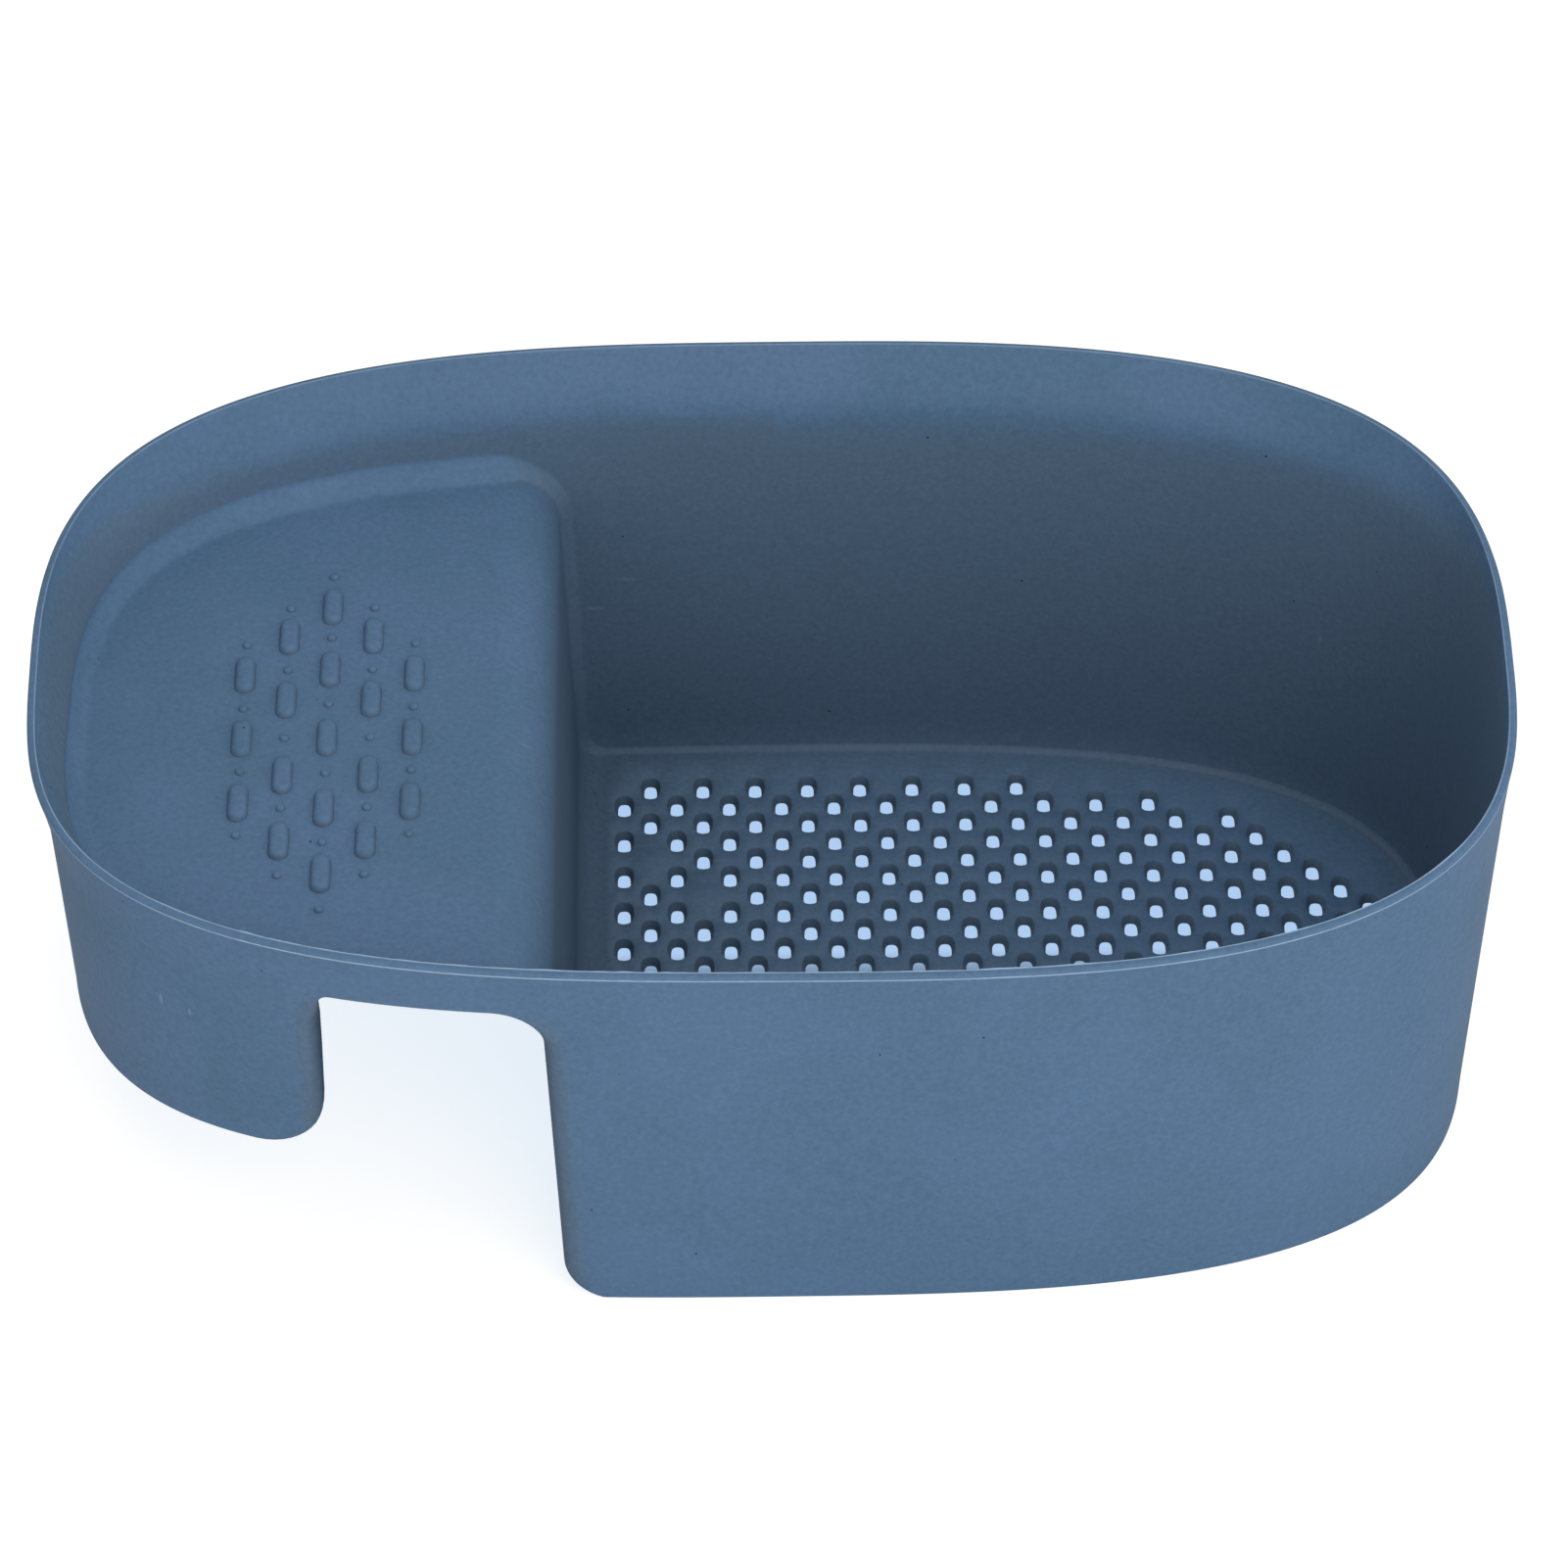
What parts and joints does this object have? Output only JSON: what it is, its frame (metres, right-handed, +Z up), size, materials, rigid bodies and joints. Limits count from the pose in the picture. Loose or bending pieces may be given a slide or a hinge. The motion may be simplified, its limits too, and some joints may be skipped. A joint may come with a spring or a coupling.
{
  "type": "sink drain basket",
  "caption": "Deep strainer bowl and shallow soap tray moulded in one, with a saddle channel between them that hangs over the wall between two sinks.",
  "frame": {"origin": "centre of the overall box in plan, on the plane the bowl's base stands on", "axes": "+X from the soap tray towards the bowl, +Y towards the high back, +Z up"},
  "size_m": [0.2632, 0.1536, 0.0954],
  "materials": {
    "rim_plastic": "moulded polypropylene, fine grain, soft sheen, slate blue",
    "bowl_plastic": "moulded polypropylene, fine grain, soft sheen, slate blue",
    "divider_plastic": "moulded polypropylene, fine grain, soft sheen, slate blue",
    "floor_plastic": "moulded polypropylene, fine grain, soft sheen, slate blue",
    "tray_plastic": "moulded polypropylene, fine grain, soft sheen, slate blue",
    "skirt_plastic": "moulded polypropylene, fine grain, soft sheen, slate blue",
    "channel_plastic": "moulded polypropylene, fine grain, soft sheen, slate blue"
  },
  "bodies": {
    "root": {"rim_band": "rim_plastic", "bowl_wall": "bowl_plastic", "divider_wall": "divider_plastic", "strainer_floor": "floor_plastic", "soap_tray": "tray_plastic", "skirt_wall": "skirt_plastic", "channel_wall": "channel_plastic"}
  },
  "joints": []
}
